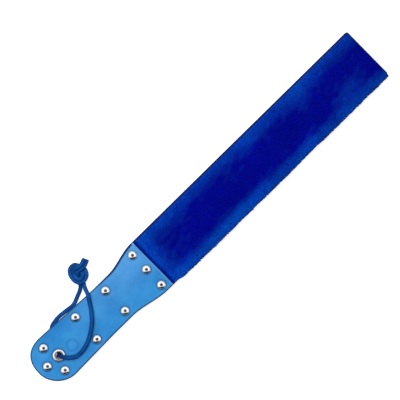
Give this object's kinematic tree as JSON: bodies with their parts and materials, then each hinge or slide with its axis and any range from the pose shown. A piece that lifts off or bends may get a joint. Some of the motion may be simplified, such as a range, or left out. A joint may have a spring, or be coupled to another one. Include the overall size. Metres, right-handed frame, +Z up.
{
  "type": "fur-faced leather paddle",
  "caption": "long flat leather strap paddle with a rounded riveted handle, a fur-faced blade and a knotted lace hanging loop through an eyelet",
  "frame": {"origin": "bottom centre of the paddle without its lace loop, on the surface that it lies on", "axes": "+X runs from the handle's butt to the blade's tip, +Y is to the left of that, and +Z is up, out of the front face"},
  "size_m": [0.51, 0.095, 0.0192],
  "materials": {
    "core_leather": "satin",
    "handle_leather": "satin",
    "fur": "deep pile fur",
    "nickel": "polished nickel",
    "lace_leather": "satin"
  },
  "bodies": {
    "paddle": {"core_strap": "core_leather", "handle_front_leather": "handle_leather", "handle_back_leather": "handle_leather", "front_fur": "fur", "back_fur": "fur", "eyelet_barrel": "nickel", "eyelet_washer": "nickel", "rivet_01_post": "nickel", "rivet_01_cap": "nickel", "rivet_02_post": "nickel", "rivet_02_cap": "nickel", "rivet_03_post": "nickel", "rivet_03_cap": "nickel", "rivet_04_post": "nickel", "rivet_04_cap": "nickel", "rivet_05_post": "nickel", "rivet_05_cap": "nickel", "rivet_06_post": "nickel", "rivet_06_cap": "nickel", "rivet_07_post": "nickel", "rivet_07_cap": "nickel", "rivet_08_post": "nickel", "rivet_08_cap": "nickel", "rivet_09_post": "nickel", "rivet_09_cap": "nickel", "rivet_10_post": "nickel", "rivet_10_cap": "nickel"},
    "hang_loop": {"lace_front": "lace_leather", "lace_back": "lace_leather", "lace_knot": "lace_leather"}
  },
  "joints": [
    {"name": "hang_loop_swing", "type": "hinge", "parent": "paddle", "child": "hang_loop", "pos_m": [-0.2252, 0, 0.0095], "axis": [0, 0, 1], "range_deg": [0, 270]}
  ]
}
